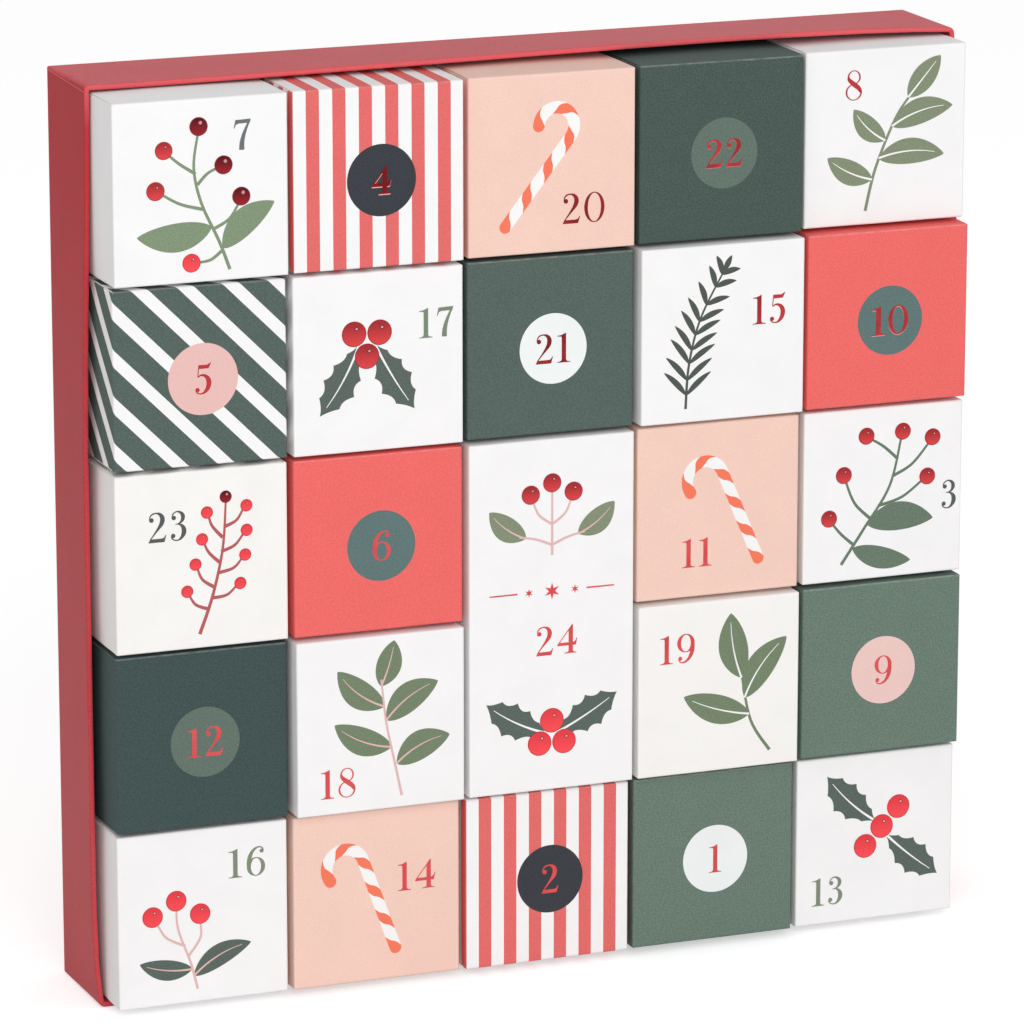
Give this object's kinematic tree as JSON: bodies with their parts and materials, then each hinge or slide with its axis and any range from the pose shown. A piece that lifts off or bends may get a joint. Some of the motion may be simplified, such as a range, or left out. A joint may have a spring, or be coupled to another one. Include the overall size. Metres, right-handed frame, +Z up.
{
  "type": "advent calendar",
  "caption": "Open-front paper-covered tray standing on its edge, filled with numbered folding cartons that slide out forward, each hollow to hold a small gift.",
  "frame": {"origin": "middle of the footprint, on the surface that the tray stands on", "axes": "+Z up; the carton fronts face -Y; +X to the right as seen from the front"},
  "size_m": [0.3044, 0.0602, 0.3042],
  "materials": {
    "card_white": "uncoated matte card",
    "card_peach": "uncoated matte card",
    "card_coral": "uncoated matte card",
    "card_deep_green": "uncoated matte card",
    "card_green": "uncoated matte card",
    "tray_red": "uncoated wrap paper",
    "greyboard": "raw greyboard",
    "lining_white": "uncoated lining paper"
  },
  "bodies": {
    "tray": {"cover_paper": "tray_red", "back_board": "greyboard", "top_board": "greyboard", "bottom_board": "greyboard", "left_board": "greyboard", "right_board": "greyboard", "lining_paper": "lining_white"},
    "box_01": {"carton_01": "card_green", "lid_01": "card_green"},
    "box_02": {"carton_02": "card_coral", "lid_02": "card_coral"},
    "box_03": {"carton_03": "card_white", "lid_03": "card_white"},
    "box_04": {"carton_04": "card_coral", "lid_04": "card_coral"},
    "box_05": {"carton_05": "card_deep_green", "lid_05": "card_deep_green"},
    "box_06": {"carton_06": "card_coral", "lid_06": "card_coral"},
    "box_07": {"carton_07": "card_white", "lid_07": "card_white"},
    "box_08": {"carton_08": "card_white", "lid_08": "card_white"},
    "box_09": {"carton_09": "card_green", "lid_09": "card_green"},
    "box_10": {"carton_10": "card_coral", "lid_10": "card_coral"},
    "box_11": {"carton_11": "card_peach", "lid_11": "card_peach"},
    "box_12": {"carton_12": "card_deep_green", "lid_12": "card_deep_green"},
    "box_13": {"carton_13": "card_white", "lid_13": "card_white"},
    "box_14": {"carton_14": "card_peach", "lid_14": "card_peach"},
    "box_15": {"carton_15": "card_white", "lid_15": "card_white"},
    "box_16": {"carton_16": "card_white", "lid_16": "card_white"},
    "box_17": {"carton_17": "card_white", "lid_17": "card_white"},
    "box_18": {"carton_18": "card_white", "lid_18": "card_white"},
    "box_19": {"carton_19": "card_white", "lid_19": "card_white"},
    "box_20": {"carton_20": "card_peach", "lid_20": "card_peach"},
    "box_21": {"carton_21": "card_deep_green", "lid_21": "card_deep_green"},
    "box_22": {"carton_22": "card_deep_green", "lid_22": "card_deep_green"},
    "box_23": {"carton_23": "card_white", "lid_23": "card_white"},
    "box_24": {"carton_24": "card_white", "lid_24": "card_white"}
  },
  "joints": [
    {"name": "pull_01", "type": "slide", "parent": "tray", "child": "box_01", "axis": [0, -1, 0], "range_m": [-0.001, 0.07]},
    {"name": "pull_02", "type": "slide", "parent": "tray", "child": "box_02", "axis": [0, -1, 0], "range_m": [-0.0015, 0.07]},
    {"name": "pull_03", "type": "slide", "parent": "tray", "child": "box_03", "axis": [0, -1, 0], "range_m": [-0.003, 0.07]},
    {"name": "pull_04", "type": "slide", "parent": "tray", "child": "box_04", "axis": [0, -1, 0], "range_m": [-0.006, 0.07]},
    {"name": "pull_05", "type": "slide", "parent": "tray", "child": "box_05", "axis": [0, -1, 0], "range_m": [-0.004, 0.07]},
    {"name": "pull_06", "type": "slide", "parent": "tray", "child": "box_06", "axis": [0, -1, 0], "range_m": [-0.004, 0.07]},
    {"name": "pull_07", "type": "slide", "parent": "tray", "child": "box_07", "axis": [0, -1, 0], "range_m": [-0.007, 0.07]},
    {"name": "pull_08", "type": "slide", "parent": "tray", "child": "box_08", "axis": [0, -1, 0], "range_m": [-0.0005, 0.07]},
    {"name": "pull_09", "type": "slide", "parent": "tray", "child": "box_09", "axis": [0, -1, 0], "range_m": [-0.0035, 0.07]},
    {"name": "pull_10", "type": "slide", "parent": "tray", "child": "box_10", "axis": [0, -1, 0], "range_m": [-0.0045, 0.07]},
    {"name": "pull_11", "type": "slide", "parent": "tray", "child": "box_11", "axis": [0, -1, 0], "range_m": [-0.003, 0.07]},
    {"name": "pull_12", "type": "slide", "parent": "tray", "child": "box_12", "axis": [0, -1, 0], "range_m": [-0.0015, 0.07]},
    {"name": "pull_13", "type": "slide", "parent": "tray", "child": "box_13", "axis": [0, -1, 0], "range_m": [-0.0005, 0.07]},
    {"name": "pull_14", "type": "slide", "parent": "tray", "child": "box_14", "axis": [0, -1, 0], "range_m": [-0.0005, 0.07]},
    {"name": "pull_15", "type": "slide", "parent": "tray", "child": "box_15", "axis": [0, -1, 0], "range_m": [-0.006, 0.07]},
    {"name": "pull_16", "type": "slide", "parent": "tray", "child": "box_16", "axis": [0, -1, 0], "range_m": [0, 0.07]},
    {"name": "pull_17", "type": "slide", "parent": "tray", "child": "box_17", "axis": [0, -1, 0], "range_m": [-0.005, 0.07]},
    {"name": "pull_18", "type": "slide", "parent": "tray", "child": "box_18", "axis": [0, -1, 0], "range_m": [-0.0055, 0.07]},
    {"name": "pull_19", "type": "slide", "parent": "tray", "child": "box_19", "axis": [0, -1, 0], "range_m": [-0.005, 0.07]},
    {"name": "pull_20", "type": "slide", "parent": "tray", "child": "box_20", "axis": [0, -1, 0], "range_m": [-0.0045, 0.07]},
    {"name": "pull_21", "type": "slide", "parent": "tray", "child": "box_21", "axis": [0, -1, 0], "range_m": [-0.0035, 0.07]},
    {"name": "pull_22", "type": "slide", "parent": "tray", "child": "box_22", "axis": [0, -1, 0], "range_m": [-0.0035, 0.07]},
    {"name": "pull_23", "type": "slide", "parent": "tray", "child": "box_23", "axis": [0, -1, 0], "range_m": [-0.0035, 0.07]},
    {"name": "pull_24", "type": "slide", "parent": "tray", "child": "box_24", "axis": [0, -1, 0], "range_m": [-0.005, 0.07]}
  ]
}
